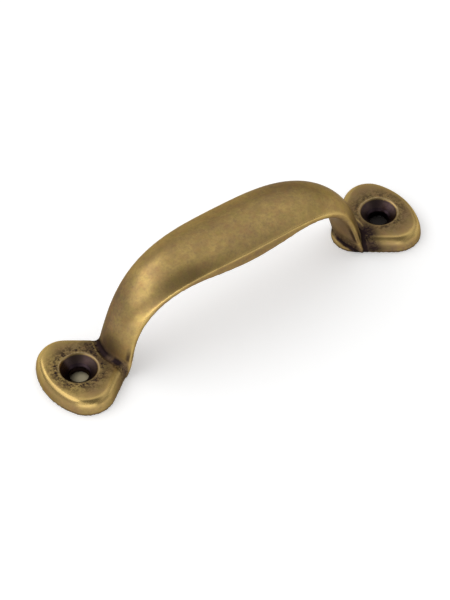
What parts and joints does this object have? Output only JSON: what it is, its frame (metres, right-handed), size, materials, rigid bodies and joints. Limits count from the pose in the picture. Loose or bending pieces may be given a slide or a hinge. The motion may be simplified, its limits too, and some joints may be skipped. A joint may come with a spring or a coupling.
{
  "type": "bow handle",
  "caption": "Cast brass bow handle: a crowned, bowed grip between rounded feet, face fixed with countersunk wood screws.",
  "frame": {"origin": "midway between the screw holes, on the mounting face", "axes": "+X along the handle from hole to hole, +Y across it, +Z away from the mounting face"},
  "size_m": [0.1012, 0.0222, 0.0257],
  "materials": {
    "antique_brass": "cast, darkened to an antique patina and rubbed back to satin on the high places"
  },
  "bodies": {
    "root": {"bow_handle": "antique_brass"}
  },
  "joints": []
}
